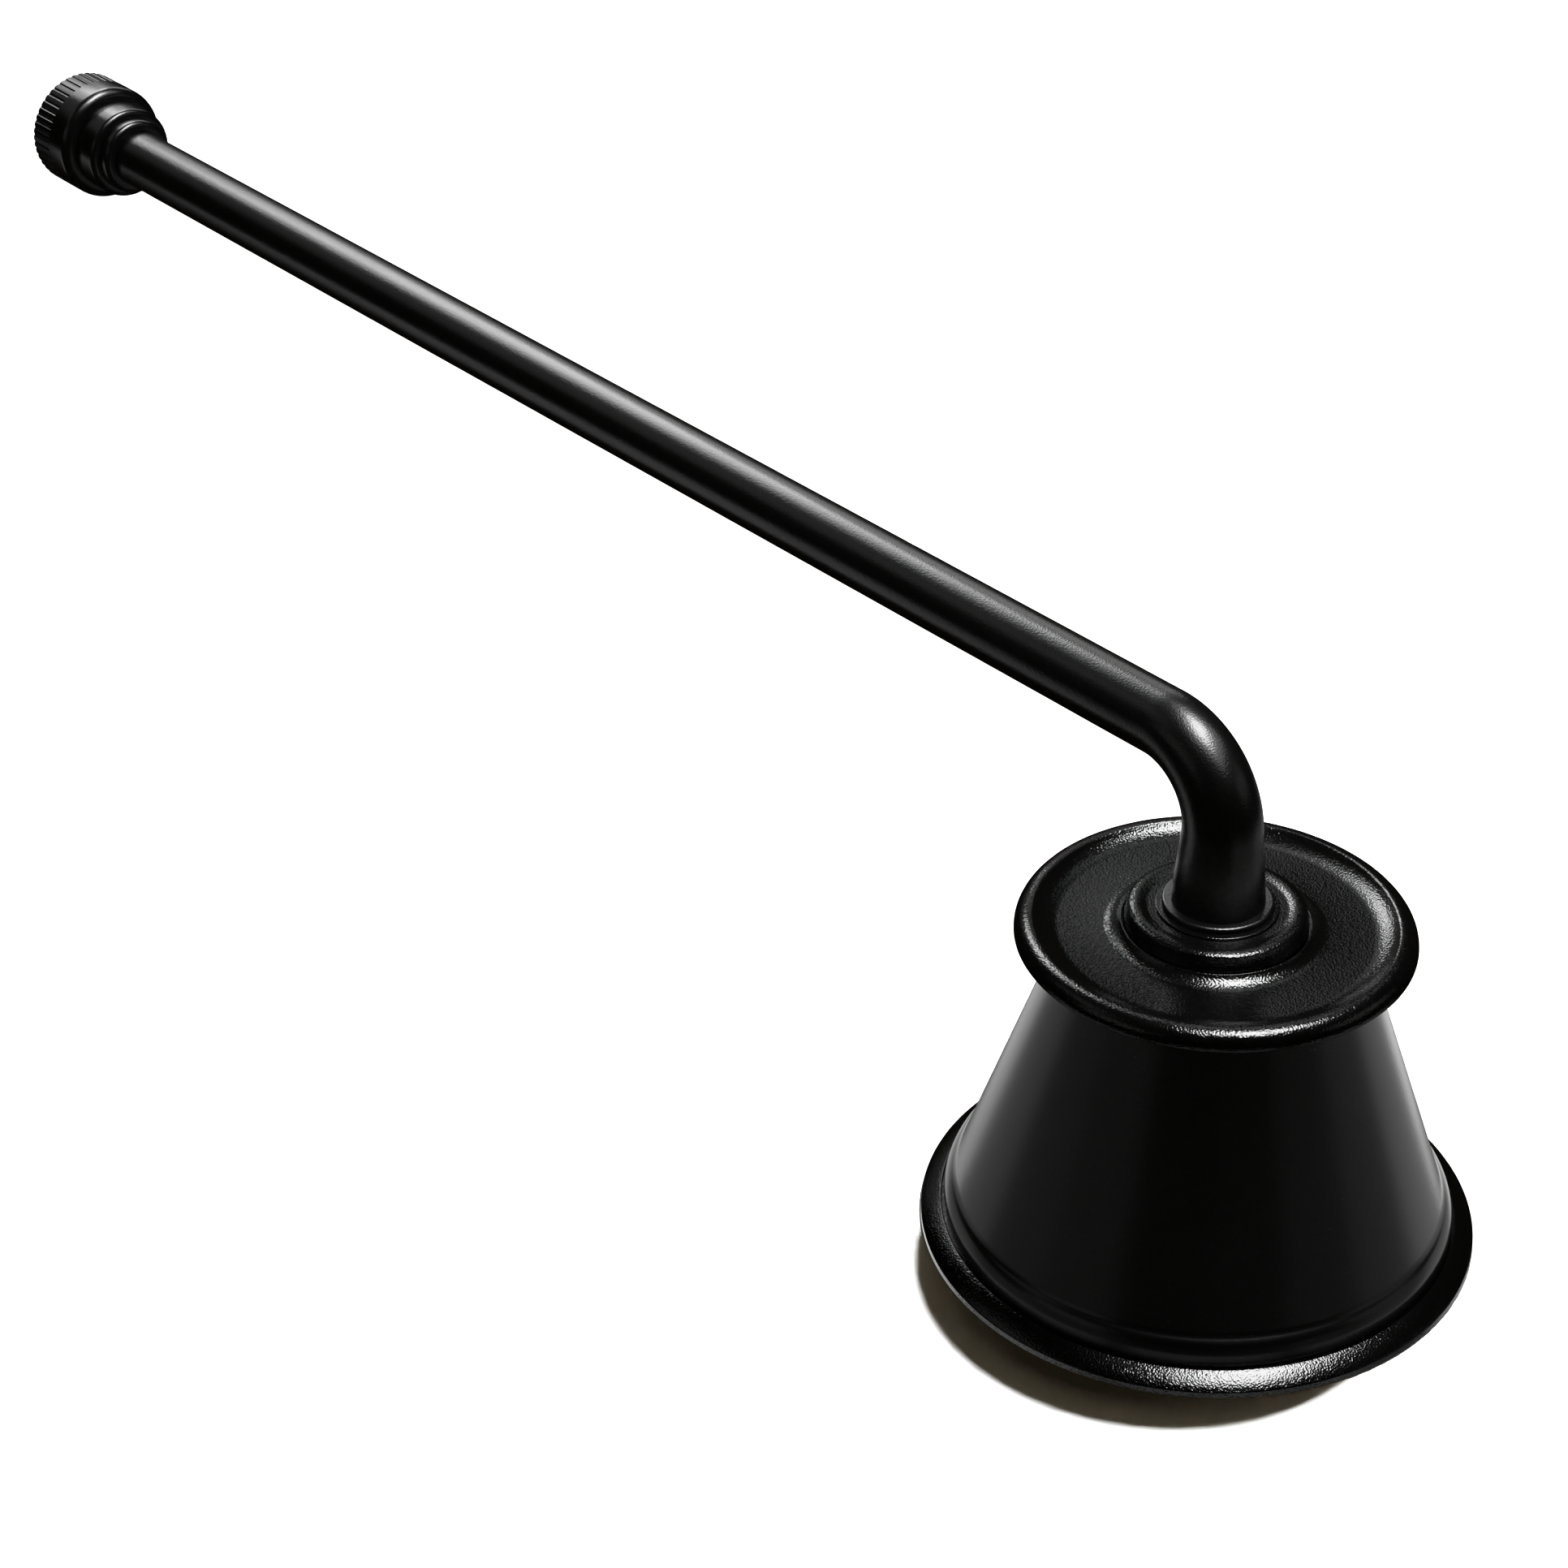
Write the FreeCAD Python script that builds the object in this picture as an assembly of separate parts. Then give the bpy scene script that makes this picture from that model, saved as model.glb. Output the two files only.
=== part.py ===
# Candle snuffer in millimetres: a steel bell on a turned rim ring, with a dished disc on its neck,
# carried by a bent tube handle with a knurled knob that screws onto its far end.
# The origin is the centre of the bell's mouth, on the plane that the rim ring rests on.
# The bell's axis is Z, and the handle runs along minus X.
import FreeCAD, Part
import math
import os

# Rim ring: flange with a crowned top, a ledge for the bell's foot and an upstand inside it
rim_radius = 24.0
rim_edge_height = 0.55
rim_edge_round = 0.15
flange_width = 2.0
flange_crown_inset = 0.85
flange_crown_height = 1.22
flange_crown_round = 5.3
flange_inner_height = 1.58
flange_inner_round = 0.12
rim_groove_width = 0.2
rim_ledge_height = 1.3
rim_upstand_height = 3.0
rim_bore_round = 0.3

# Bell: straight cone wall with a closed neck, and a flared foot that sits in the rim ring
bell_side_height = 3.33
bell_side_round = 1.8
bell_flare_width = 0.94
bell_flare_rise = 0.79
bell_flare_round = 1.4
bell_foot_wall = 1.4
bell_neck_radius = 12.6
bell_neck_height = 29.0
bell_wall = 1.9
bell_web = 2.2
bell_neck_round = 0.5
bell_web_inner_round = 1.5

# Disc: dished plate with a crowned rim, a cove up to a narrow lip, and a recess for the boss
disc_radius = 16.8
disc_floor = 1.4
disc_edge_lift = 0.64
disc_edge_thickness = 1.61
disc_edge_bottom_round = 0.15
disc_edge_round = 1.4
disc_edge_width = 1.6
disc_edge_inner_round = 0.4
disc_slope_width = 1.1
disc_floor_round = 3.0
disc_cove_width = 0.72
disc_cove_round = 1.9
disc_lip_gap = 0.15
disc_lip_width = 0.12
disc_lip_height = 0.71
disc_lip_round = 0.04
disc_recess_depth = 0.1

# Boss: turned tier between the disc and the handle's foot
boss_radius = 7.7
boss_base_height = 1.0
boss_edge_inset = 0.25
boss_edge_height = 2.12
boss_edge_round = 0.1
boss_crown_inset = 0.5
boss_crown_height = 2.5
boss_crown_round = 1.5
boss_dish_width = 1.05
boss_dish_round = 1.0
boss_height = 2.2

# Collar: small ring under the handle's foot
collar_step = 0.45
collar_height = 0.2
collar_round = 0.08

# Handle: tube with a flanged foot, a tapered stub and bend, and a straight run
tube_radius = 3.02
tube_wall = 0.8
handle_bend_radius = 7.3
bend_swell = 0.36
bend_sections = 9
handle_reach = 168.4
foot_stub_length = 7.0
foot_flare_step = 0.93
foot_flange_step = 0.75
foot_flange_height = 0.6
foot_flange_round = 0.25
foot_flange_base_round = 0.08

# Threads, with plain cylinders at the major diameter
thread_share = 0.9
thread_end_chamfer = 0.4
plug_length = 5.6
plug_round = 0.3

# Fasteners inside the bell
washer_radius = 4.5
washer_thickness = 0.8
spring_washer_radius = 3.6
spring_washer_thickness = 1.0
spring_washer_slit = 0.7
spring_washer_slit_tilt_degrees = 20.0
nut_across_flats = 7.0
nut_thickness = 3.2
nut_corner_chamfer = 0.45
stud_end_stand_out = 1.0

# Ferrule: two stepped rings, and a tail with a lip that snaps into the knob
ferrule_small_radius = 4.1
ferrule_small_length = 1.6
ferrule_large_radius = 4.95
ferrule_large_length = 3.5
ferrule_round = 0.6
ferrule_tube_grip = 3.6
ferrule_tail_radius = 3.5
ferrule_tail_length = 1.2
ferrule_lip_height = 0.2
ferrule_lip_length = 0.5

# Knob: fluted drum with a smooth shoulder, bored for the thread and the ferrule's tail
knob_radius = 6.25
knob_length = 7.0
knob_shoulder_round = 1.1
knob_far_chamfer = 0.35
knob_end_wall = 0.9
knob_flute_length = 3.6
knob_flute_count = 48
knob_flute_radius = 0.25
knob_flute_depth = 0.1
end_stud_gap = 0.65
end_plug_length = 8.0

# Clearances and one overrun for all cuts
slip_clearance = 0.05
hole_clearance = 0.1
plug_clearance = 0.02
cut_overrun = 1.0

# Radii that follow from the sizes above
flange_crown_radius = rim_radius - flange_crown_inset
bell_side_radius = rim_radius - flange_width
flange_inner_radius = bell_side_radius + rim_groove_width
bell_flare_radius = bell_side_radius - bell_flare_width
bell_socket_radius = bell_side_radius - bell_foot_wall
disc_seat_radius = bell_neck_radius - bell_neck_round
disc_edge_inner_radius = disc_radius - disc_edge_width
disc_floor_radius = disc_edge_inner_radius - disc_slope_width
disc_lip_radius = boss_radius + disc_lip_gap
disc_cove_radius = disc_lip_radius + disc_cove_width
boss_edge_radius = boss_radius - boss_edge_inset
boss_crown_radius = boss_edge_radius - boss_crown_inset
boss_dish_radius = boss_crown_radius - boss_dish_width
tube_bore_radius = tube_radius - tube_wall
thread_radius = tube_bore_radius * thread_share
hole_radius = thread_radius + hole_clearance
bend_start_radius = tube_radius + bend_swell
foot_radius = tube_radius + foot_flare_step
foot_flange_radius = foot_radius + foot_flange_step
collar_radius = foot_flange_radius + collar_step

# The bell's wall, measured square to its slope, from the flare up to the neck
bell_flare_height = bell_side_height + bell_flare_rise
bell_slope = (bell_flare_radius - bell_neck_radius) / (bell_neck_height - bell_flare_height)
bell_wall_run = bell_wall * math.hypot(1, bell_slope)
bell_socket_height = rim_upstand_height + hole_clearance
bell_socket_drop = bell_flare_height - bell_socket_height
bell_inner_foot_radius = bell_flare_radius + bell_slope * bell_socket_drop - bell_wall_run

# Heights and reaches that follow from the sizes above
disc_floor_height = bell_neck_height + disc_floor
disc_edge_bottom = bell_neck_height + disc_edge_lift
disc_edge_top = disc_edge_bottom + disc_edge_thickness
boss_bottom = disc_floor_height - disc_recess_depth
boss_top = boss_bottom + boss_height
foot_bottom = boss_top + collar_height
bend_bottom = foot_bottom + foot_stub_length
handle_height = bend_bottom + handle_bend_radius
washer_bottom = bell_neck_height - bell_web - washer_thickness
spring_washer_bottom = washer_bottom - spring_washer_thickness
nut_bottom = spring_washer_bottom - nut_thickness
stud_bottom = nut_bottom - stud_end_stand_out
ferrule_front = handle_reach - ferrule_tube_grip
ferrule_back = ferrule_front + ferrule_small_length + ferrule_large_length
tail_back = ferrule_back + ferrule_tail_length
knob_front = ferrule_back + slip_clearance
knob_back = knob_front + knob_length
end_stud_end = knob_back - knob_end_wall - end_stud_gap


def unit(vector):
    """Return the vector at length one."""
    return FreeCAD.Vector(vector).normalize()


def half_section(points):
    """Make a closed wire in the XZ plane from (radius, height, round) corners."""
    corners = [FreeCAD.Vector(p[0], 0, p[1]) for p in points]
    rounds = [p[2] if len(p) > 2 else 0 for p in points]
    starts = []
    ends = []
    edges = []
    for i, corner in enumerate(corners):
        before = unit(corners[i - 1] - corner)
        after = unit(corners[(i + 1) % len(corners)] - corner)
        half = before.getAngle(after) / 2
        run = rounds[i] / math.tan(half)
        start = corner + before * run
        end = corner + after * run
        if rounds[i]:
            middle = corner + unit(before + after) * (rounds[i] / math.sin(half) - rounds[i])
            edges.append((i, Part.Arc(start, middle, end).toShape()))
        starts.append(start)
        ends.append(end)
    for i, end in enumerate(ends):
        edges.append((i, Part.makeLine(end, starts[(i + 1) % len(starts)])))
    edges.sort(key=lambda item: item[0])
    return Part.Wire([edge for _, edge in edges])


def turned(points):
    """Turn a half section about Z into a solid."""
    face = Part.Face(half_section(points))
    return face.revolve(FreeCAD.Vector(0, 0, 0), FreeCAD.Vector(0, 0, 1), 360)


def on_handle(shape):
    """Lay a shape turned about Z along the handle, so that its heights become reaches."""
    shape.rotate(FreeCAD.Vector(0, 0, 0), FreeCAD.Vector(0, 1, 0), -90)
    shape.translate(FreeCAD.Vector(0, 0, handle_height))
    return shape


def make_rim_ring():
    """Flanged ring with a crowned top, and an upstand that holds the bell's foot from inside."""
    upstand_radius = bell_socket_radius - slip_clearance
    return turned([
        (bell_inner_foot_radius, 0, rim_bore_round),
        (rim_radius, 0),
        (rim_radius, rim_edge_height, rim_edge_round),
        (flange_crown_radius, flange_crown_height, flange_crown_round),
        (flange_inner_radius, flange_inner_height, flange_inner_round),
        (flange_inner_radius, rim_ledge_height),
        (upstand_radius, rim_ledge_height),
        (upstand_radius, rim_upstand_height),
        (bell_inner_foot_radius, rim_upstand_height),
    ])


def make_bell_shell():
    """Cone with a closed neck, bored for the stud, whose flared foot sits on the rim ring."""
    web_bottom = bell_neck_height - bell_web
    inner_top_radius = bell_neck_radius + bell_slope * bell_web - bell_wall_run
    return turned([
        (hole_radius, web_bottom),
        (inner_top_radius, web_bottom, bell_web_inner_round),
        (bell_inner_foot_radius, bell_socket_height),
        (bell_socket_radius, bell_socket_height),
        (bell_socket_radius, rim_ledge_height),
        (bell_side_radius, rim_ledge_height),
        (bell_side_radius, bell_side_height, bell_side_round),
        (bell_flare_radius, bell_flare_height, bell_flare_round),
        (bell_neck_radius, bell_neck_height, bell_neck_round),
        (hole_radius, bell_neck_height),
    ])


def make_top_disc():
    """Dished disc with a crowned edge, and a lip round the recess that holds the boss."""
    lip_top = disc_floor_height + disc_lip_height
    return turned([
        (hole_radius, bell_neck_height),
        (disc_seat_radius, bell_neck_height),
        (disc_edge_inner_radius, disc_edge_bottom, disc_edge_inner_round),
        (disc_radius, disc_edge_bottom, disc_edge_bottom_round),
        (disc_radius, disc_edge_top, disc_edge_round),
        (disc_edge_inner_radius, disc_edge_top, disc_edge_inner_round),
        (disc_floor_radius, disc_floor_height, disc_floor_round),
        (disc_cove_radius, disc_floor_height, disc_cove_round),
        (disc_lip_radius + disc_lip_width, lip_top, disc_lip_round),
        (disc_lip_radius, lip_top, disc_lip_round),
        (disc_lip_radius, boss_bottom),
        (hole_radius, boss_bottom),
    ])


def make_crown_boss():
    """Turned tier with a plain base, a crisp edge under a crown, and a slightly dished top."""
    return turned([
        (hole_radius, boss_bottom),
        (boss_radius, boss_bottom),
        (boss_radius, boss_bottom + boss_base_height),
        (boss_edge_radius, boss_bottom + boss_edge_height, boss_edge_round),
        (boss_crown_radius, boss_bottom + boss_crown_height, boss_crown_round),
        (boss_dish_radius, boss_top, boss_dish_round),
        (hole_radius, boss_top),
    ])


def make_foot_collar():
    """Small rounded ring between the boss and the handle's foot."""
    return turned([
        (hole_radius, boss_top),
        (collar_radius, boss_top, collar_round),
        (collar_radius, foot_bottom, collar_round),
        (hole_radius, foot_bottom),
    ])


def make_bend():
    """Quarter bend that tapers from the stub to the straight run."""
    centre = FreeCAD.Vector(-handle_bend_radius, 0, bend_bottom)
    axis = FreeCAD.Vector(0, -1, 0)
    sections = []
    for i in range(bend_sections):
        share = i / (bend_sections - 1)
        radius = bend_start_radius - bend_swell * share
        ring = Part.makeCircle(radius, FreeCAD.Vector(0, 0, bend_bottom))
        ring.rotate(centre, axis, 90 * share)
        sections.append(Part.Wire(ring))
    outside = Part.makeLoft(sections, True)
    bore = Part.Face(Part.Wire(Part.makeCircle(tube_bore_radius, FreeCAD.Vector(0, 0, bend_bottom))))
    return outside.cut(bore.revolve(centre, axis, 90))


def make_handle_tube():
    """Tube from its flared foot, round one bend, to the end that the ferrule slips over."""
    flange_top = foot_bottom + foot_flange_height
    foot = turned([
        (tube_bore_radius, foot_bottom),
        (foot_flange_radius, foot_bottom, foot_flange_base_round),
        (foot_flange_radius, flange_top, foot_flange_round),
        (foot_radius, flange_top),
        (bend_start_radius, bend_bottom),
        (tube_bore_radius, bend_bottom),
    ])
    run = on_handle(turned([
        (tube_bore_radius, handle_bend_radius),
        (tube_radius, handle_bend_radius),
        (tube_radius, handle_reach),
        (tube_bore_radius, handle_reach),
    ]))
    return foot.fuse([make_bend(), run]).removeSplitter()


def stud(plug, start, length):
    """Plug that fills a tube's bore, with a threaded stud; it stands on start and rises."""
    plug_radius = tube_bore_radius - plug_clearance
    return turned([
        (0, start),
        (plug_radius, start, plug_round),
        (plug_radius, start + plug),
        (thread_radius, start + plug),
        (thread_radius, start + length - thread_end_chamfer),
        (thread_radius - thread_end_chamfer, start + length),
        (0, start + length),
    ])


def make_foot_stud():
    """Threaded stud fixed in the handle's foot, hanging down through the bell's neck."""
    length = foot_bottom - stud_bottom + plug_length
    shape = stud(plug_length, 0, length)
    shape.rotate(FreeCAD.Vector(0, 0, 0), FreeCAD.Vector(1, 0, 0), 180)
    shape.translate(FreeCAD.Vector(0, 0, foot_bottom + plug_length))
    return shape


def make_flat_washer():
    """Plain washer under the bell's web."""
    shape = Part.makeCylinder(washer_radius, washer_thickness, FreeCAD.Vector(0, 0, washer_bottom))
    bore = Part.makeCylinder(hole_radius, washer_thickness, FreeCAD.Vector(0, 0, washer_bottom))
    return shape.cut(bore)


def make_spring_washer():
    """Split lock washer with a slanted slit."""
    low = FreeCAD.Vector(0, 0, spring_washer_bottom)
    shape = Part.makeCylinder(spring_washer_radius, spring_washer_thickness, low)
    bore = Part.makeCylinder(hole_radius, spring_washer_thickness, low)
    slit_height = spring_washer_thickness + 2 * cut_overrun
    slit = Part.makeBox(spring_washer_radius + cut_overrun, spring_washer_slit, slit_height)
    slit.translate(FreeCAD.Vector(0, -spring_washer_slit / 2, -slit_height / 2))
    slit.rotate(FreeCAD.Vector(0, 0, 0), FreeCAD.Vector(1, 0, 0), spring_washer_slit_tilt_degrees)
    slit.translate(FreeCAD.Vector(0, 0, spring_washer_bottom + spring_washer_thickness / 2))
    return shape.cut(bore).cut(slit)


def make_hex_nut():
    """Hexagon nut with both faces chamfered, on the stud inside the bell."""
    across_corners = nut_across_flats / math.cos(math.pi / 6)
    corners = []
    for i in range(7):
        angle = i * math.pi / 3
        x = across_corners / 2 * math.cos(angle)
        y = across_corners / 2 * math.sin(angle)
        corners.append(FreeCAD.Vector(x, y, nut_bottom))
    blank = Part.Face(Part.makePolygon(corners)).extrude(FreeCAD.Vector(0, 0, nut_thickness))
    drop = nut_corner_chamfer * math.tan(math.pi / 6)
    envelope = turned([
        (thread_radius + plug_clearance, nut_bottom),
        (across_corners / 2 - nut_corner_chamfer, nut_bottom),
        (across_corners / 2, nut_bottom + drop),
        (across_corners / 2, nut_bottom + nut_thickness - drop),
        (across_corners / 2 - nut_corner_chamfer, nut_bottom + nut_thickness),
        (thread_radius + plug_clearance, nut_bottom + nut_thickness),
    ])
    return blank.common(envelope)


def make_end_stud():
    """Threaded stud fixed in the tube's far end, which carries the knob."""
    start = handle_reach - end_plug_length
    return on_handle(stud(end_plug_length, start, end_stud_end - start))


def make_knob_ferrule():
    """Two stepped rings that slip over the tube's end, with a lipped tail in the knob."""
    tube_hole_radius = tube_radius + slip_clearance
    step = ferrule_front + ferrule_small_length
    lip_radius = ferrule_tail_radius + ferrule_lip_height
    return on_handle(turned([
        (tube_hole_radius, ferrule_front),
        (ferrule_small_radius, ferrule_front, ferrule_round),
        (ferrule_small_radius, step),
        (ferrule_large_radius, step, ferrule_round),
        (ferrule_large_radius, ferrule_back),
        (ferrule_tail_radius, ferrule_back),
        (ferrule_tail_radius, tail_back - ferrule_lip_length),
        (lip_radius, tail_back - ferrule_lip_length),
        (lip_radius, tail_back),
        (hole_radius, tail_back),
        (hole_radius, handle_reach + slip_clearance),
        (tube_hole_radius, handle_reach + slip_clearance),
    ]))


def make_knob():
    """Drum with a smooth shoulder and a fluted far end, bored for the tail and the thread."""
    mouth_radius = ferrule_tail_radius + slip_clearance
    undercut_radius = ferrule_tail_radius + ferrule_lip_height + slip_clearance
    lip_front = tail_back - ferrule_lip_length - slip_clearance
    shape = turned([
        (mouth_radius, knob_front),
        (knob_radius, knob_front, knob_shoulder_round),
        (knob_radius, knob_back - knob_far_chamfer),
        (knob_radius - knob_far_chamfer, knob_back),
        (0, knob_back),
        (0, knob_back - knob_end_wall),
        (thread_radius + slip_clearance, knob_back - knob_end_wall),
        (thread_radius + slip_clearance, tail_back + slip_clearance),
        (undercut_radius, tail_back + slip_clearance),
        (undercut_radius, lip_front),
        (mouth_radius, lip_front),
    ])
    flute_centre = knob_radius - knob_flute_depth + knob_flute_radius
    flutes = []
    for i in range(knob_flute_count):
        foot = FreeCAD.Vector(flute_centre, 0, knob_back - knob_flute_length)
        flute = Part.makeCylinder(knob_flute_radius, knob_flute_length + cut_overrun, foot)
        flute.rotate(FreeCAD.Vector(0, 0, 0), FreeCAD.Vector(0, 0, 1), i * 360 / knob_flute_count)
        flutes.append(flute)
    return on_handle(shape.cut(flutes))


def main():
    """Build every piece and write one file for each."""
    pieces = {
        "rim_ring": make_rim_ring(),
        "bell_shell": make_bell_shell(),
        "top_disc": make_top_disc(),
        "crown_boss": make_crown_boss(),
        "foot_collar": make_foot_collar(),
        "handle_tube": make_handle_tube(),
        "foot_stud": make_foot_stud(),
        "flat_washer": make_flat_washer(),
        "spring_washer": make_spring_washer(),
        "hex_nut": make_hex_nut(),
        "end_stud": make_end_stud(),
        "knob_ferrule": make_knob_ferrule(),
        "knob": make_knob(),
    }
    os.makedirs("parts", exist_ok=True)
    for name, shape in pieces.items():
        shape.exportStep("parts/" + name + ".step")
        print(name, "valid", shape.isValid(), "solids", len(shape.Solids), "volume", round(shape.Volume, 1))


main()
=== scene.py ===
import bmesh
import bpy
from math import atan2, cos, hypot, pi, radians, sin, tan
from mathutils import Matrix, Vector


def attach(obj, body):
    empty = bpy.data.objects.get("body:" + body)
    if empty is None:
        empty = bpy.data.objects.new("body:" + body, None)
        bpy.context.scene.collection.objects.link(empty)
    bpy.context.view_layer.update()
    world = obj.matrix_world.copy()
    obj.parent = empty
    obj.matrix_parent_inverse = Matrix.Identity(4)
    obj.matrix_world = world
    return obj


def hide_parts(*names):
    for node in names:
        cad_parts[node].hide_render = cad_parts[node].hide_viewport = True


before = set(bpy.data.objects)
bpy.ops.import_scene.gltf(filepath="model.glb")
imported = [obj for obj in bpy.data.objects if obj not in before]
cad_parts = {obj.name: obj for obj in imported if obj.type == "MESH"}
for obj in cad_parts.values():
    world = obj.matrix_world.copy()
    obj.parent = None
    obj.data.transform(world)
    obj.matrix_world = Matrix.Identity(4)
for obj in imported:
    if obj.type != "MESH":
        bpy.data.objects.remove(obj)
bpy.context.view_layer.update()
scene = bpy.context.scene


# Camera: a long lens that looks down on the bell from its right front, with the handle going
# away to the upper left.
YAW = 0.868
PITCH = 0.561
ROLL = -0.003
CAMERA_PLACE = (0.16816, -0.18945, 0.20210)
LENS = 83.85
SENSOR_WIDTH = 36
CLIP_START = 0.01

back = Vector((sin(YAW) * cos(PITCH), -cos(YAW) * cos(PITCH), sin(PITCH)))
level_right = Vector((cos(YAW), sin(YAW), 0))
level_up = back.cross(level_right)
view_right = level_right * cos(ROLL) + level_up * sin(ROLL)
view_up = level_up * cos(ROLL) - level_right * sin(ROLL)
camera = bpy.data.objects.new("camera", bpy.data.cameras.new("camera"))
camera.data.lens = LENS
camera.data.sensor_width = SENSOR_WIDTH
camera.data.clip_start = CLIP_START
turned_to_bell = Matrix((view_right, view_up, back)).transposed().to_4x4()
camera.matrix_world = Matrix.Translation(CAMERA_PLACE) @ turned_to_bell
scene.collection.objects.link(camera)
scene.camera = camera
scene.view_settings.view_transform = "Standard"


# Floor: a sheet of white card that the snuffer stands on. It has two parts, because the sun lights
# only the far one. The black finish mirrors the lamps and not the card.
FLOOR_NEAR = 0.062
FLOOR_FAR = 6.0
FLOOR_STEPS = 96
CARD_WHITE = (0.96, 0.955, 0.945, 1)


class Tone:
    """A value that changes over a surface, on which sums are written as Python expressions."""

    def __init__(self, tree, socket=None):
        self.tree = tree
        self.socket = socket

    def node(self, kind, settings, values, output=0):
        """Add one node: its settings first, then the values or tones of its sockets."""
        node = self.tree.nodes.new("ShaderNode" + kind)
        for name, value in settings.items():
            setattr(node, name, value)
        for name, value in values.items():
            if isinstance(value, Tone):
                self.tree.links.new(value.socket, node.inputs[name])
            else:
                node.inputs[name].default_value = value
        return Tone(self.tree, node.outputs[output] if node.outputs else None)

    def sum(self, operation, *values):
        return self.node("Math", {"operation": operation}, dict(enumerate(values)))

    def __add__(self, other):
        return self.sum("ADD", self, other)

    def __sub__(self, other):
        return self.sum("SUBTRACT", self, other)

    def __rsub__(self, other):
        return self.sum("SUBTRACT", other, self)

    def __mul__(self, other):
        return self.sum("MULTIPLY", self, other)

    __radd__ = __add__
    __rmul__ = __mul__


def blank_material(name):
    """A material without nodes, and the tone that its nodes are built from."""
    material = bpy.data.materials.new(name)
    material.use_nodes = True
    material.node_tree.nodes.clear()
    return material, Tone(material.node_tree)


card, tone = blank_material("white_card")
matt = tone.node("BsdfPrincipled", {}, {
    "Base Color": CARD_WHITE, "Roughness": 1.0, "Specular IOR Level": 0.0})
tone.node("OutputMaterial", {}, {"Surface": matt})
for name, outer, inner in (("floor_near", FLOOR_NEAR, 0), ("floor_far", FLOOR_FAR, FLOOR_NEAR)):
    mesh = bmesh.new()
    if inner:
        bmesh.ops.create_circle(mesh, segments=FLOOR_STEPS, radius=inner)
        widened = bmesh.ops.extrude_edge_only(mesh, edges=mesh.edges[:])["geom"]
        bmesh.ops.scale(mesh, vec=(outer / inner, outer / inner, 1),
                        verts=[item for item in widened if isinstance(item, bmesh.types.BMVert)])
    else:
        bmesh.ops.create_circle(mesh, segments=FLOOR_STEPS, radius=outer, cap_ends=True)
    data = bpy.data.meshes.new(name)
    bmesh.ops.recalc_face_normals(mesh, faces=mesh.faces[:])
    mesh.to_mesh(data)
    mesh.free()
    data.materials.append(card)
    floor = bpy.data.objects.new(name, data)
    scene.collection.objects.link(floor)
    floor.visible_glossy = False
    floor.visible_shadow = not inner
far_floor = bpy.data.collections.new("far_floor")
far_floor.objects.link(floor)


# Light: a small lamp close above the bell draws its shadow, a sun whitens the far card, and a fill
# warms the shadow. Only the gloss sees the white cards: a bright box overhead, a second one at the
# back left and paler ones round about, of which some serve one group of pieces alone.
LAMP_AZIMUTH = 150
LAMP_ELEVATION = 75.9
LAMP_DISTANCE = 0.139
LAMP_POWER = 2.4
LAMP_RADIUS = 0.0022
SUN_POWER = 6.0
AIM = Vector((0, 0, 0.02))
BOX_POWER = 4.0
WHITE = (1, 1, 1)
HALO_COLOUR = (1, 0.86, 0.62)
FILL_COLOUR = (1, 0.80, 0.45)
BACKDROP = (1, 1, 0.99, 1)
ROOM_DARK = (0.005, 0.004, 0.0025, 1)


def aimed(name, kind, azimuth, elevation, distance):
    """Aim a lamp at the bell; azimuth is in degrees from the camera's side towards the right."""
    camera_side = Vector((sin(YAW), -cos(YAW), 0))
    towards = camera_side * cos(radians(azimuth)) + level_right * sin(radians(azimuth))
    direction = towards * cos(radians(elevation)) + Vector((0, 0, sin(radians(elevation))))
    facing = direction.to_track_quat("Z", "Y").to_matrix().to_4x4()
    made = bpy.data.objects.new(name, bpy.data.lights.new(name, kind))
    made.matrix_world = Matrix.Translation(AIM + direction * distance) @ facing
    scene.collection.objects.link(made)
    return made


def soft_box(name, azimuth, elevation, distance, width, height, strength, colour, seen_in_gloss):
    """A flat lamp that only gloss sees, or that only matt surfaces see."""
    made = aimed(name, "AREA", azimuth, elevation, distance)
    made.data.shape = "RECTANGLE"
    made.data.size = width
    made.data.size_y = height
    made.data.energy = strength * width * height * BOX_POWER
    made.data.color = colour
    made.visible_glossy = seen_in_gloss
    made.visible_diffuse = not seen_in_gloss
    return made


def cards(places, receivers=None):
    """Hang white cards that only gloss sees, the gloss of all pieces or of one group of them."""
    for name, azimuth, elevation, distance, width, height, strength in places:
        made = soft_box(name, azimuth, elevation, distance, width, height, strength, WHITE, True)
        made.light_linking.receiver_collection = receivers


def ring(name, elevation, width, height, strengths):
    """Places of like cards round the bell, a metre away, from pairs of azimuth and strength."""
    return [("%s_%d" % (name, azimuth % 360), azimuth, elevation, 1.0, width, height, strength)
            for azimuth, strength in strengths]


lamp = aimed("lamp", "POINT", LAMP_AZIMUTH, LAMP_ELEVATION, LAMP_DISTANCE)
lamp.data.energy = LAMP_POWER
lamp.data.shadow_soft_size = LAMP_RADIUS
lamp.visible_glossy = False
shadow_makers = bpy.data.collections.new("shadow_makers")
lamp.light_linking.blocker_collection = shadow_makers
sun = aimed("sun", "SUN", LAMP_AZIMUTH, elevation=70, distance=1.0)
sun.data.energy = SUN_POWER
sun.visible_glossy = False
sun.light_linking.receiver_collection = far_floor
sun.light_linking.blocker_collection = far_floor
halo = soft_box("halo", LAMP_AZIMUTH, LAMP_ELEVATION, LAMP_DISTANCE, width=0.03, height=0.03,
                strength=8.0, colour=HALO_COLOUR, seen_in_gloss=False)
halo.light_linking.blocker_collection = shadow_makers
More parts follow.
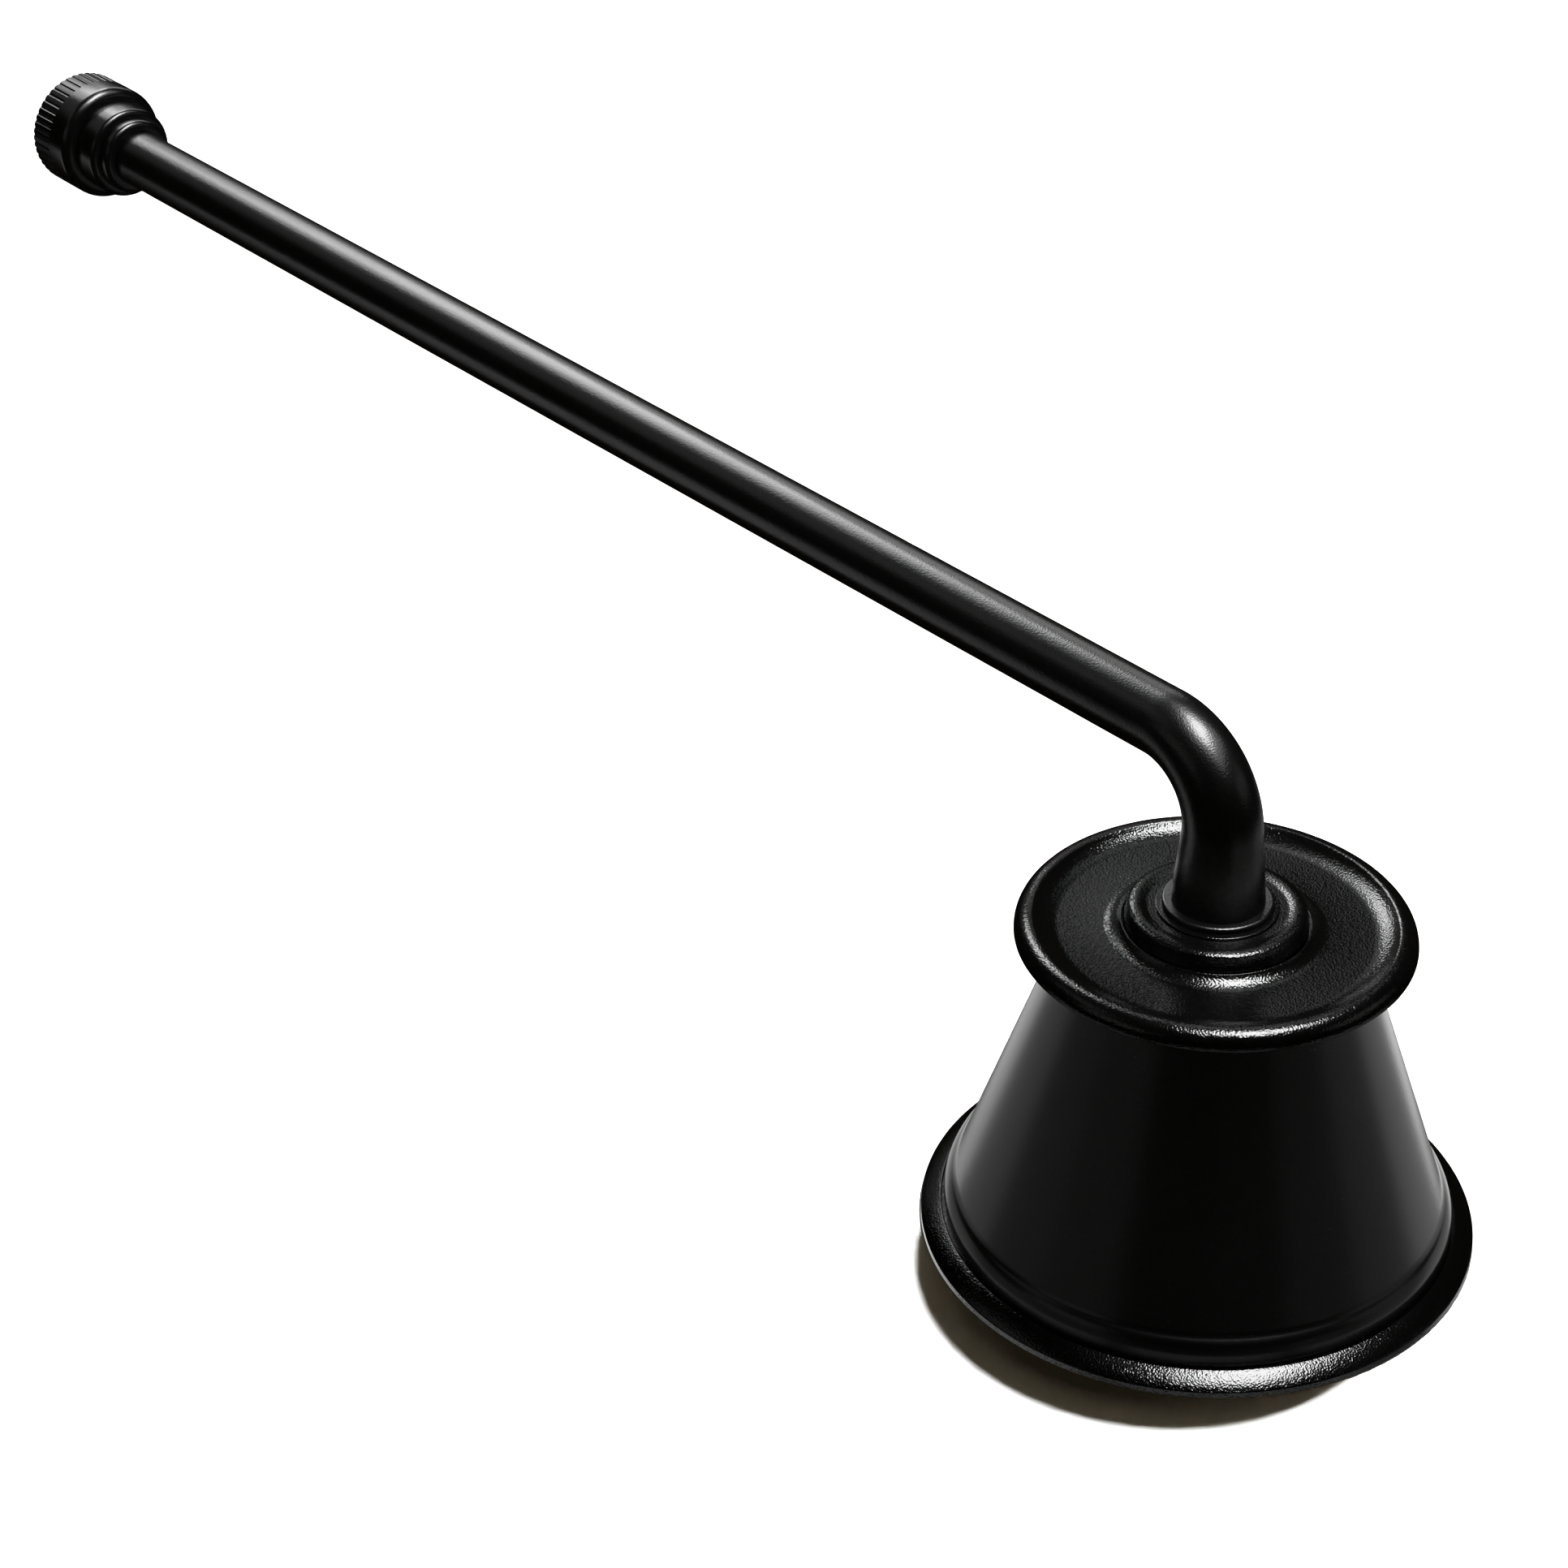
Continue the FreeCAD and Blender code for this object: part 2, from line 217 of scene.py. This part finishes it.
soft_box("fill", azimuth=-130, elevation=22, distance=0.7, width=0.5, height=0.5,
         strength=0.06, colour=FILL_COLOUR, seen_in_gloss=False)

tiers_only = bpy.data.collections.new("tiers_only")
rim_only = bpy.data.collections.new("rim_only")
cone_only = bpy.data.collections.new("cone_only")
handle_only = bpy.data.collections.new("handle_only")
cards([
    ("overhead", 76, 78, 1.0, 0.56, 0.40, 18.5),
    ("back_left", -160, 39, 1.0, 0.36, 0.34, 3.2),
    ("back", -164, 36, 1.3, 0.95, 0.50, 0.48),
])
cards([
    ("tiers_left", -161, 36, 1.0, 0.28, 0.30, 4.5),
    ("tiers_back", 178, 54, 1.0, 0.80, 0.22, 0.8),
], tiers_only)
cards([("left", -90, 40, 1.0, 0.50, 0.34, 0.14)])
cards(ring("wall", elevation=19, width=0.62, height=0.35, strengths=(
    (-160, 0.12), (-60, 0.16), (80, 0.20))))
cards(ring("ground", elevation=-35, width=1.0, height=0.34, strengths=(
    (-75, 0.20), (0, 0.20), (75, 0.20))), shadow_makers)
cards(ring("rim", elevation=-36, width=0.90, height=0.34, strengths=(
    (-145, 1.2), (-85, 0.6), (-25, 0.3), (35, 0.3), (140, 0.5))), rim_only)
cards(ring("skirt", elevation=-11, width=0.62, height=0.70, strengths=(
    (-160, 0.95), (-125, 0.32), (-90, 0.12), (-55, 0.08), (-20, 0.02),
    (15, 0.03), (50, 0.08), (85, 0.18), (120, 0.50), (155, 1.3))), cone_only)
cards([
    ("handle_top", -180, 27, 1.0, 0.56, 0.30, 1.1),
    ("handle_high", -154, 38, 1.0, 0.50, 0.36, 2.9),
    ("handle_mid", -117, 35, 1.0, 0.45, 0.36, 0.18),
    ("handle_low", -103, -24, 1.0, 0.36, 0.40, 0.40),
    ("handle_bend", 76, 74, 1.0, 1.1, 1.0, 1.5),
    ("handle_right", 55, -31, 1.0, 1.1, 0.40, 0.12),
    ("handle_far_right", 120, -31, 1.0, 1.1, 0.40, 0.20),
], handle_only)

world = bpy.data.worlds.new("room")
world.use_nodes = True
scene.world = world
world.node_tree.nodes.clear()
room = Tone(world.node_tree)
by_eye = room.node("LightPath", {}, {}, "Is Camera Ray")
bright = room.node("Background", {}, {"Color": BACKDROP, "Strength": 1.0})
dim = room.node("Background", {}, {"Color": ROOM_DARK, "Strength": 1.0})
mixed = room.node("MixShader", {}, {0: by_eye, 1: dim, 2: bright})
room.node("OutputWorld", {}, {"Surface": mixed})


# Rim ring: a turned steel ring with a flat rest face and a crowned flange. The bell's foot sits on
# its ledge, round the upstand. Coated black with the rest of the bell.
RIM_BORE = 19.4
RIM_RADIUS = 24.0
SEAT_RADIUS = 22.2
UPSTAND_RADIUS = 20.55
UPSTAND_TOP = 3.0
LEDGE = 1.3
BLACK = (0.0008, 0.0008, 0.0008, 1)
GRAINS_PER_METRE = 6500.0
CLOUDS_PER_METRE = 120.0
CLOUD_SHARE = 0.06
MM_PER_METRE = 1000
TURN_STEPS = 256
ROUND_STEPS = 10
WELD = 1e-7
SHARP_ANGLE = radians(35)


def sandy_coat(name, roughness, depth):
    """Black paint, baked on, with a fine sandy grain and slight clouds in its gloss."""
    material, tone = blank_material(name)
    place = tone.node("TexCoord", {}, {}, "Object")
    sand = tone.node("TexNoise", {}, {"Vector": place, "Scale": GRAINS_PER_METRE, "Detail": 0.0})
    normal = tone.node("Bump", {}, {"Strength": 1.0, "Distance": depth, "Height": sand})
    cloud = tone.node("TexNoise", {}, {"Vector": place, "Scale": CLOUDS_PER_METRE, "Detail": 2.0})
    shader = tone.node("BsdfPrincipled", {}, {
        "Base Color": BLACK, "Roughness": roughness + (cloud - 0.5) * CLOUD_SHARE,
        "Normal": normal})
    tone.node("OutputMaterial", {}, {"Surface": shader})
    return material


def turned(corners, steps=TURN_STEPS, closed=True):
    """Turn a half section of (radius, height, round) corners, in millimetres, about Z."""
    mesh = bmesh.new()
    verts = [mesh.verts.new((corner[0] / MM_PER_METRE, 0, corner[1] / MM_PER_METRE))
             for corner in corners]
    for i in range(0 if closed else 1, len(verts)):
        mesh.edges.new((verts[i - 1], verts[i]))
    for i, corner in enumerate(corners):
        if len(corner) > 2:
            here, last, after = (Vector(corners[j % len(corners)][:2]) for j in (i, i - 1, i + 1))
            half = (last - here).angle(after - here) / 2
            bmesh.ops.bevel(mesh, geom=[verts[i]], offset=corner[2] / MM_PER_METRE / tan(half),
                            offset_type="OFFSET", segments=ROUND_STEPS, profile=0.5,
                            affect="VERTICES", material=-1)
    bmesh.ops.spin(mesh, geom=mesh.edges[:], cent=(0, 0, 0), axis=(0, 0, 1), angle=2 * pi,
                   steps=steps, use_merge=True)
    bmesh.ops.remove_doubles(mesh, verts=mesh.verts[:], dist=WELD)
    return mesh


def piece(name, mesh, material, body, node, groups):
    """Make the finished mesh an object that rides on its body, stands for its CAD node, and
    belongs to the groups that the lamps are linked to."""
    bmesh.ops.recalc_face_normals(mesh, faces=mesh.faces[:])
    data = bpy.data.meshes.new(name)
    mesh.to_mesh(data)
    mesh.free()
    data.shade_smooth()
    data.set_sharp_from_angle(angle=SHARP_ANGLE)
    data.materials.append(material)
    made = bpy.data.objects.new(name, data)
    scene.collection.objects.link(made)
    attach(made, body)
    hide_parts(node)
    made.visible_diffuse = False
    for group in groups:
        group.objects.link(made)


coat = sandy_coat("bell_coat", roughness=0.14, depth=0.000024)
rim = turned([
    (RIM_BORE, 0, 0.3),
    (RIM_RADIUS, 0),
    (RIM_RADIUS, 0.55, 0.15),
    (23.15, 1.22, 5.3),
    (SEAT_RADIUS, 1.58, 0.12),
    (SEAT_RADIUS, LEDGE),
    (UPSTAND_RADIUS, LEDGE),
    (UPSTAND_RADIUS, UPSTAND_TOP),
    (RIM_BORE, UPSTAND_TOP),
])
piece("bell_rim", rim, coat, "snuffer", "rim_ring",
      (shadow_makers, rim_only))


# Bell: a spun steel cone, closed at its neck by a web with a hole for the stud. Its foot flares
# out, rounds over into a short upright side and stands on the rim ring.
STUD_HOLE = 2.1
WEB_BOTTOM = 26.8
NECK_TOP = 29.0
INNER_STEP = 3.1
FOOT_BORE = 20.6
FOOT_RADIUS = 22.0
satin_coat = sandy_coat("satin_coat", roughness=0.25, depth=0.000005)
cone = turned([
    (STUD_HOLE, WEB_BOTTOM),
    (11.34, WEB_BOTTOM, 1.5),
    (RIM_BORE, INNER_STEP),
    (FOOT_BORE, INNER_STEP),
    (FOOT_BORE, LEDGE),
    (FOOT_RADIUS, LEDGE),
    (FOOT_RADIUS, 3.33, 1.8),
    (21.06, 4.12, 1.4),
    (12.6, NECK_TOP, 0.5),
    (STUD_HOLE, NECK_TOP),
])
piece("bell_cone", cone, satin_coat, "snuffer", "bell_shell",
      (shadow_makers, cone_only))


# Disc: a pressed and turned steel plate on the bell's neck, dished, with a crowned edge, and a
# small lip that the boss sits inside.
DISC_RADIUS = 16.8
DISC_UNDERSIDE = 29.64
DISC_CROWN = 31.25
DISH_RADIUS = 15.2
DISH_FLOOR = 30.4
LIP_BORE = 7.85
LIP_TOP = 31.11
RECESS_FLOOR = 30.3
disc = turned([
    (STUD_HOLE, NECK_TOP),
    (12.1, NECK_TOP),
    (DISH_RADIUS, DISC_UNDERSIDE, 0.4),
    (DISC_RADIUS, DISC_UNDERSIDE, 0.15),
    (DISC_RADIUS, DISC_CROWN, 1.4),
    (DISH_RADIUS, DISC_CROWN, 0.4),
    (14.1, DISH_FLOOR, 3.0),
    (8.57, DISH_FLOOR, 1.9),
    (7.97, LIP_TOP, 0.04),
    (LIP_BORE, LIP_TOP, 0.04),
    (LIP_BORE, RECESS_FLOOR),
    (STUD_HOLE, RECESS_FLOOR),
])
piece("drip_disc", disc, coat, "snuffer", "top_disc",
      (shadow_makers, tiers_only))


# Boss: a turned steel tier between the disc and the handle, with a crisp edge and a crowned top.
# Its base stands in the disc's recess.
BOSS_RADIUS = 7.7
BOSS_TOP = 32.5
boss = turned([
    (STUD_HOLE, RECESS_FLOOR),
    (BOSS_RADIUS, RECESS_FLOOR),
    (BOSS_RADIUS, 31.3),
    (7.45, 32.42, 0.1),
    (6.95, 32.8, 1.5),
    (5.9, BOSS_TOP, 1.0),
    (STUD_HOLE, BOSS_TOP),
])
piece("boss", boss, coat, "snuffer", "crown_boss",
      (shadow_makers, tiers_only))


# Collar: a small ring with slightly rounded edges on top of the boss. The handle's foot is screwed
# down on it.
COLLAR_RADIUS = 5.15
EDGE_ROUND = 0.08
FOOT = 32.7
collar = turned([
    (STUD_HOLE, BOSS_TOP),
    (COLLAR_RADIUS, BOSS_TOP, EDGE_ROUND),
    (COLLAR_RADIUS, FOOT, EDGE_ROUND),
    (STUD_HOLE, FOOT),
])
piece("collar", collar, coat, "snuffer", "foot_collar",
      (shadow_makers, tiers_only))


# Handle: one aluminium tube, flared at its foot, bent through a right angle, and straight from
# there to the knob. Its outside tapers round the bend. Coated black in one go.
FLANGE_RADIUS = 4.7
FLANGE_HEIGHT = 0.6
FLANGE_TOP = FOOT + FLANGE_HEIGHT
BEND_START = 39.7
BEND_RADIUS = 7.3
REACH = 168.4
BEND_SWELL = 0.36
TUBE_RADIUS = 3.02
BORE_RADIUS = 2.22
TUBE_STEPS = 128
BEND_STEPS = 64
SWOLLEN_RADIUS = TUBE_RADIUS + BEND_SWELL
WALL_CLEAR = 0.1
FIRST_SHARE = 0.001

handle = turned([
    (BORE_RADIUS, BEND_START),
    (BORE_RADIUS, FOOT),
    (FLANGE_RADIUS, FOOT, EDGE_ROUND),
    (FLANGE_RADIUS, FLANGE_TOP, 0.25),
    (3.95, FLANGE_TOP),
    (SWOLLEN_RADIUS, BEND_START),
], steps=TUBE_STEPS, closed=False)
bend_x = -BEND_RADIUS / MM_PER_METRE
bend_z = BEND_START / MM_PER_METRE
top = [edge for edge in handle.edges if edge.is_boundary]
bmesh.ops.spin(handle, geom=top, cent=(bend_x, 0, bend_z), axis=(0, -1, 0), angle=pi / 2,
               steps=BEND_STEPS)
for vert in handle.verts:
    share = atan2(vert.co.z - bend_z, vert.co.x - bend_x) * 2 / pi
    if share > FIRST_SHARE:
        outward = Vector((cos(share * pi / 2), 0, sin(share * pi / 2)))
        middle = Vector((bend_x, 0, bend_z)) + outward * BEND_RADIUS / MM_PER_METRE
        if (vert.co - middle).length > (BORE_RADIUS + WALL_CLEAR) / MM_PER_METRE:
            vert.co = middle + (vert.co - middle) * (1 - BEND_SWELL * share / SWOLLEN_RADIUS)
bmesh.ops.remove_doubles(handle, verts=handle.verts[:], dist=WELD)
far = [edge for edge in handle.edges if edge.is_boundary]
run = bmesh.ops.extrude_edge_only(handle, edges=far)["geom"]
bmesh.ops.translate(handle, vec=((BEND_RADIUS - REACH) / MM_PER_METRE, 0, 0),
                    verts=[item for item in run if isinstance(item, bmesh.types.BMVert)])
bmesh.ops.bridge_loops(handle, edges=[edge for edge in handle.edges if edge.is_boundary])
tube_coat = sandy_coat("handle_coat", roughness=0.25, depth=0.000014)
piece("handle", handle, tube_coat, "snuffer", "handle_tube",
      (handle_only,))


# Ferrule: two stepped, rounded aluminium rings in front of the knob, with a lipped tail that
# snaps into it, so that it travels with the knob but doesn't turn.
HANDLE_HEIGHT = BEND_START + BEND_RADIUS


def along_handle(mesh):
    """Lay a mesh turned about Z along the handle, so that its heights become reaches."""
    quarter_turn = Matrix.Rotation(-pi / 2, 3, "Y")
    bmesh.ops.rotate(mesh, cent=(0, 0, 0), matrix=quarter_turn, verts=mesh.verts[:])
    bmesh.ops.translate(mesh, vec=(0, 0, HANDLE_HEIGHT / MM_PER_METRE), verts=mesh.verts[:])
    return mesh


FERRULE_BORE = 3.07
FRONT_RADIUS = 4.1
FRONT_FACE = 164.8
REAR_RADIUS = 4.95
REAR_START = 166.4
REAR_FACE = 169.9
RING_ROUND = 0.6
TUBE_SEAT = 168.45
TAIL_RADIUS = 3.5
TAIL_BORE = 2.1
TAIL_END = 171.1
SNAP_RADIUS = 3.7
SNAP_START = 170.6
ferrule = along_handle(turned([
    (FERRULE_BORE, FRONT_FACE),
    (FRONT_RADIUS, FRONT_FACE, RING_ROUND),
    (FRONT_RADIUS, REAR_START),
    (REAR_RADIUS, REAR_START, RING_ROUND),
    (REAR_RADIUS, REAR_FACE),
    (TAIL_RADIUS, REAR_FACE),
    (TAIL_RADIUS, SNAP_START),
    (SNAP_RADIUS, SNAP_START),
    (SNAP_RADIUS, TAIL_END),
    (TAIL_BORE, TAIL_END),
    (TAIL_BORE, TUBE_SEAT),
    (FERRULE_BORE, TUBE_SEAT),
]))
knob_coat = sandy_coat("knob_coat", roughness=0.22, depth=0.000004)
piece("ferrule", ferrule, knob_coat, "ferrule", "knob_ferrule",
      (handle_only,))


# Knob: a turned aluminium drum with a smooth rounded shoulder and fine flutes round its far half,
# bored for the ferrule's tail and tapped for the stud.
FLUTES = 48
FLUTE_START = 173.35
FLUTE_BLEND = 0.02
FLUTE_RADIUS = 0.25
FLUTE_DEPTH = 0.1
FLUTE_HALF_WIDTH = 0.2
KNOB_RADIUS = 6.25
KNOB_FRONT = 169.95
KNOB_END = 176.95
MOUTH_RADIUS = 3.55
GROOVE_RADIUS = 3.75
GROOVE_START = 170.55
GROOVE_END = 171.15
TAP_RADIUS = 2.05
TAP_END = 176.05
FLUTE_STEPS = 8
LAND_STEPS = 4
PITCH_STEPS = FLUTE_STEPS + LAND_STEPS
AXIS_RADIUS = 1e-6

knob = turned([
    (MOUTH_RADIUS, KNOB_FRONT),
    (KNOB_RADIUS, KNOB_FRONT, 1.1),
    (KNOB_RADIUS, FLUTE_START - FLUTE_BLEND),
    (KNOB_RADIUS, FLUTE_START),
    (KNOB_RADIUS, 176.6),
    (5.9, KNOB_END),
    (0, KNOB_END),
    (0, TAP_END),
    (TAP_RADIUS, TAP_END),
    (TAP_RADIUS, GROOVE_END),
    (GROOVE_RADIUS, GROOVE_END),
    (GROOVE_RADIUS, GROOVE_START),
    (MOUTH_RADIUS, GROOVE_START),
], steps=FLUTES * PITCH_STEPS)
flute_centre = KNOB_RADIUS - FLUTE_DEPTH + FLUTE_RADIUS
edge_angle = FLUTE_HALF_WIDTH / KNOB_RADIUS
pitch_angle = 2 * pi / FLUTES
for vert in knob.verts:
    radius = hypot(vert.co.x, vert.co.y)
    if radius < AXIS_RADIUS:
        continue
    step = round(atan2(vert.co.y, vert.co.x) / pitch_angle * PITCH_STEPS)
    flute, place = divmod(step, PITCH_STEPS)
    if place <= FLUTE_STEPS:
        offset = (2 * place / FLUTE_STEPS - 1) * edge_angle
    else:
        offset = edge_angle + (place - FLUTE_STEPS) / LAND_STEPS * (pitch_angle - 2 * edge_angle)
    if vert.co.z * MM_PER_METRE > FLUTE_START - FLUTE_BLEND / 2 and place <= FLUTE_STEPS:
        across = KNOB_RADIUS * offset
        bottom = flute_centre - (FLUTE_RADIUS ** 2 - across ** 2) ** 0.5
        radius = min(radius, bottom / MM_PER_METRE)
    angle = flute * pitch_angle + offset
    vert.co.x = radius * cos(angle)
    vert.co.y = radius * sin(angle)
piece("knob_drum", along_handle(knob), knob_coat, "knob", "knob",
      (handle_only,))


# Fasteners: plated studs in the handle's two ends, and the washers and nut that clamp the stack
# from inside the bell. They keep their CAD meshes and get bright zinc plate over steel.
ZINC_DULL = (0.42, 0.42, 0.40, 1)
ZINC_BRIGHT = (0.60, 0.60, 0.57, 1)
HAZES_PER_METRE = 900.0
ZINC_ROUGHNESS = 0.28
HAZE_SHARE = 0.14

zinc, tone = blank_material("zinc_plate")
place = tone.node("TexCoord", {}, {}, "Object")
haze = tone.node("TexNoise", {}, {"Vector": place, "Scale": HAZES_PER_METRE, "Detail": 3.0})
shade = tone.node("MixRGB", {}, {0: haze, 1: ZINC_DULL, 2: ZINC_BRIGHT})
shader = tone.node("BsdfPrincipled", {}, {
    "Base Color": shade, "Metallic": 1.0, "Roughness": ZINC_ROUGHNESS + haze * HAZE_SHARE})
tone.node("OutputMaterial", {}, {"Surface": shader})
for name in ("foot_stud", "flat_washer", "spring_washer", "hex_nut", "end_stud"):
    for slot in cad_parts[name].material_slots:
        slot.material = zinc
